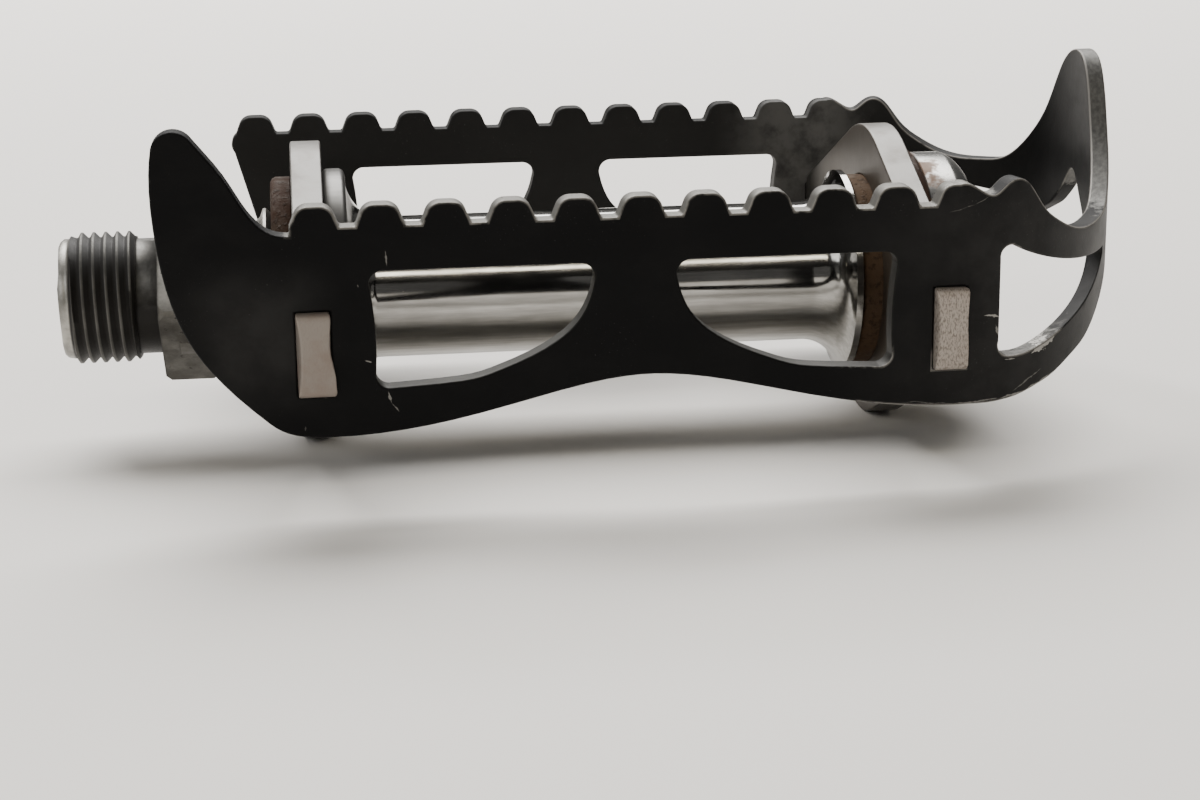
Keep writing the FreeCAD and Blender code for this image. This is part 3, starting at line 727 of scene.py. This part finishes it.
# These pale streaks along the foot are painted highlights, drawn in the same way as the scratches.
highlight_along_foot = (
    (75.0, -7.05, 80.5, -7.5, 0.1, 0.45), (80.5, -7.5, 85.5, -7.42, 0.13, 0.6),
    (85.5, -7.42, 88.6, -6.88, 0.15, 0.7), (88.6, -6.88, 92.0, -5.72, 0.15, 0.7))
scratches_and_highlight = by_inboard_window + by_inboard_head + by_last_tooth + by_loop_window + highlight_along_foot
nicks_and_highlight = face_mark(*scratches_and_highlight[0])
for scratch in scratches_and_highlight[1:]:
    nicks_and_highlight = black.wire.math("MAXIMUM", nicks_and_highlight, face_mark(*scratch))

# The top centre of the near face gets extra pale specks: dust, and partly a painted sheen.
specks_and_sheen_top = black.x.band(26, 32, 44, 50) * black.z.rise(9.5, 11) * outside
dust = black.noise(5.5, 2).rise(0.66, 0.76) * (black.noise(0.12, 3).rise(0.45, 0.7) + specks_and_sheen_top)
rubbed = black.noise(0.09, 6, (1, 1, 1.6)).rise(0.4, 0.75)
metal = black.wire.math("MAXIMUM", bared, nicks_and_highlight * (1 - 0.7 * edge))
behind_plate = black.x.band(66, 75, 80, 88) * black.y.band(24, 28, 30.5, 31.5) * black.z.rise(-2, 6)
grime = behind_plate * black.noise(0.3, 6).rise(0.2, 0.6)
by_head = black.x.band(3, 9, 14, 20) * black.z.band(-7, 0, 5, 11)
# The near face is painted lighter round the inboard head and towards the loop: partly handling marks,
# partly a painted sheen.
touch_and_sheen = 0.035 * by_head + 0.045 * black.x.rise(64, 90) + 0.05 * black.x.rise(90, 101)
handling_and_sheen = touch_and_sheen * (0.4 + 0.6 * black.noise(0.16, 5).rise(0.3, 0.7)) * outside
# The inner faces of the far side are painted a paler grey: a painted sheen. The same grey is used for the
# dust behind the outboard plate.
inner_face_sheen = black.y.band(8, 22, 30.5, 31.5)
coat = (0.008 * rubbed + 0.12 * dust + handling_and_sheen).blend(coat_black, coat_dust)
coat = (0.18 * inner_face_sheen + 0.75 * grime).blend(coat, grime_and_sheen_grey)
raw = black.noise(2.2, 5, (1, 1, 0.4)).rise(0.25, 0.75).blend(metal_dark, metal_pale)
raw = (0.85 * at_window).blend(raw, window_metal)
raw = (0.6 * near * on_tread).blend(raw, tread_metal)
raw = (0.35 * on_horn).blend(raw, horn_metal)
raw = nicks_and_highlight.blend(raw, nick_and_highlight_metal)
skin = metal.blend(coat, raw)
black.set(Base_Color=(0.75 * arris_wear_and_highlight).blend(skin, arris_wear_and_highlight_metal), Metallic=0.75 * metal,
          Roughness=0.42 + 0.1 * rubbed + 0.1 * edge + 0.15 * dust,
          Normal=black.bump(black.noise(3.2, 4) - 0.6 * metal, 0.22, 0.05))
black.cover(cage)
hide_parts("cage")
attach(cage, "pedal_body")

# Studio: a plain pale floor under the pedal, in a dim room with a broad lamp overhead, a warm strip in
# front and a soft fill at the left.
floor_size = 6.0
floor_middle = (0.05, 0.5, cad_low.z)
paper_warm = (0.82, 0.795, 0.755, 1)
paper_pale = (0.84, 0.815, 0.78, 1)
room_colour = (1.0, 0.985, 0.96, 1)
room_strength = 0.14
pedal_middle = (0.045, 0, 0)
start_fresh()
bpy.ops.mesh.primitive_plane_add(size=floor_size, location=floor_middle)
floor = bpy.context.object
floor.name = "floor"
paper = Finish("pale_paper", 0.0)
paper.set(Base_Color=paper.noise(0.02, 3).blend(paper_warm, paper_pale), Roughness=0.8)
paper.cover(floor)

world = bpy.data.worlds.new("pale_room")
bpy.context.scene.world = world
world.use_nodes = True
world.node_tree.nodes["Background"].inputs["Color"].default_value = room_colour
world.node_tree.nodes["Background"].inputs["Strength"].default_value = room_strength


def lamp(name, place, aim, size, power, colour=(1, 1, 1)):
    light = bpy.data.lights.new(name, "AREA")
    light.shape = "RECTANGLE"
    light.size, light.size_y = size
    light.energy = power
    light.color = colour
    holder = bpy.data.objects.new(name, light)
    holder.location = place
    holder.rotation_euler = (Vector(aim) - Vector(place)).to_track_quat("-Z", "Y").to_euler()
    bpy.context.scene.collection.objects.link(holder)


lamp("overhead", place=(0.0, 0.8, 0.95), aim=(0.05, 0.45, 0), size=(1.4, 1.0), power=44.0,
     colour=(1, 0.985, 0.965))
lamp("front_strip", place=(0.05, -0.82, 0.52), aim=pedal_middle, size=(1.2, 0.09), power=2.6,
     colour=(1, 0.93, 0.78))
lamp("left_fill", place=(-0.6, -0.35, 0.35), aim=pedal_middle, size=(0.35, 0.35), power=1.2)

# Camera: at the photograph's place, in line with the inboard plate and a little above the tread. It looks
# down and to the outboard end, and leans a little.
camera_place = Vector((16.65, -257.12, 55.87))
camera_heading = math.radians(-7.015)
camera_tilt = math.radians(74.869)
camera_lean = math.radians(-0.744)
focal_length = 70.80
lens = bpy.data.cameras.new("camera")
lens.lens = focal_length
lens.sensor_width = 36
lens.clip_start = 0.01
camera = bpy.data.objects.new("camera", lens)
bpy.context.scene.collection.objects.link(camera)
camera.matrix_world = (Matrix.Translation(camera_place * MM) @ Matrix.Rotation(camera_heading, 4, "Z")
                       @ Matrix.Rotation(camera_tilt, 4, "X") @ Matrix.Rotation(camera_lean, 4, "Z"))
bpy.context.scene.camera = camera
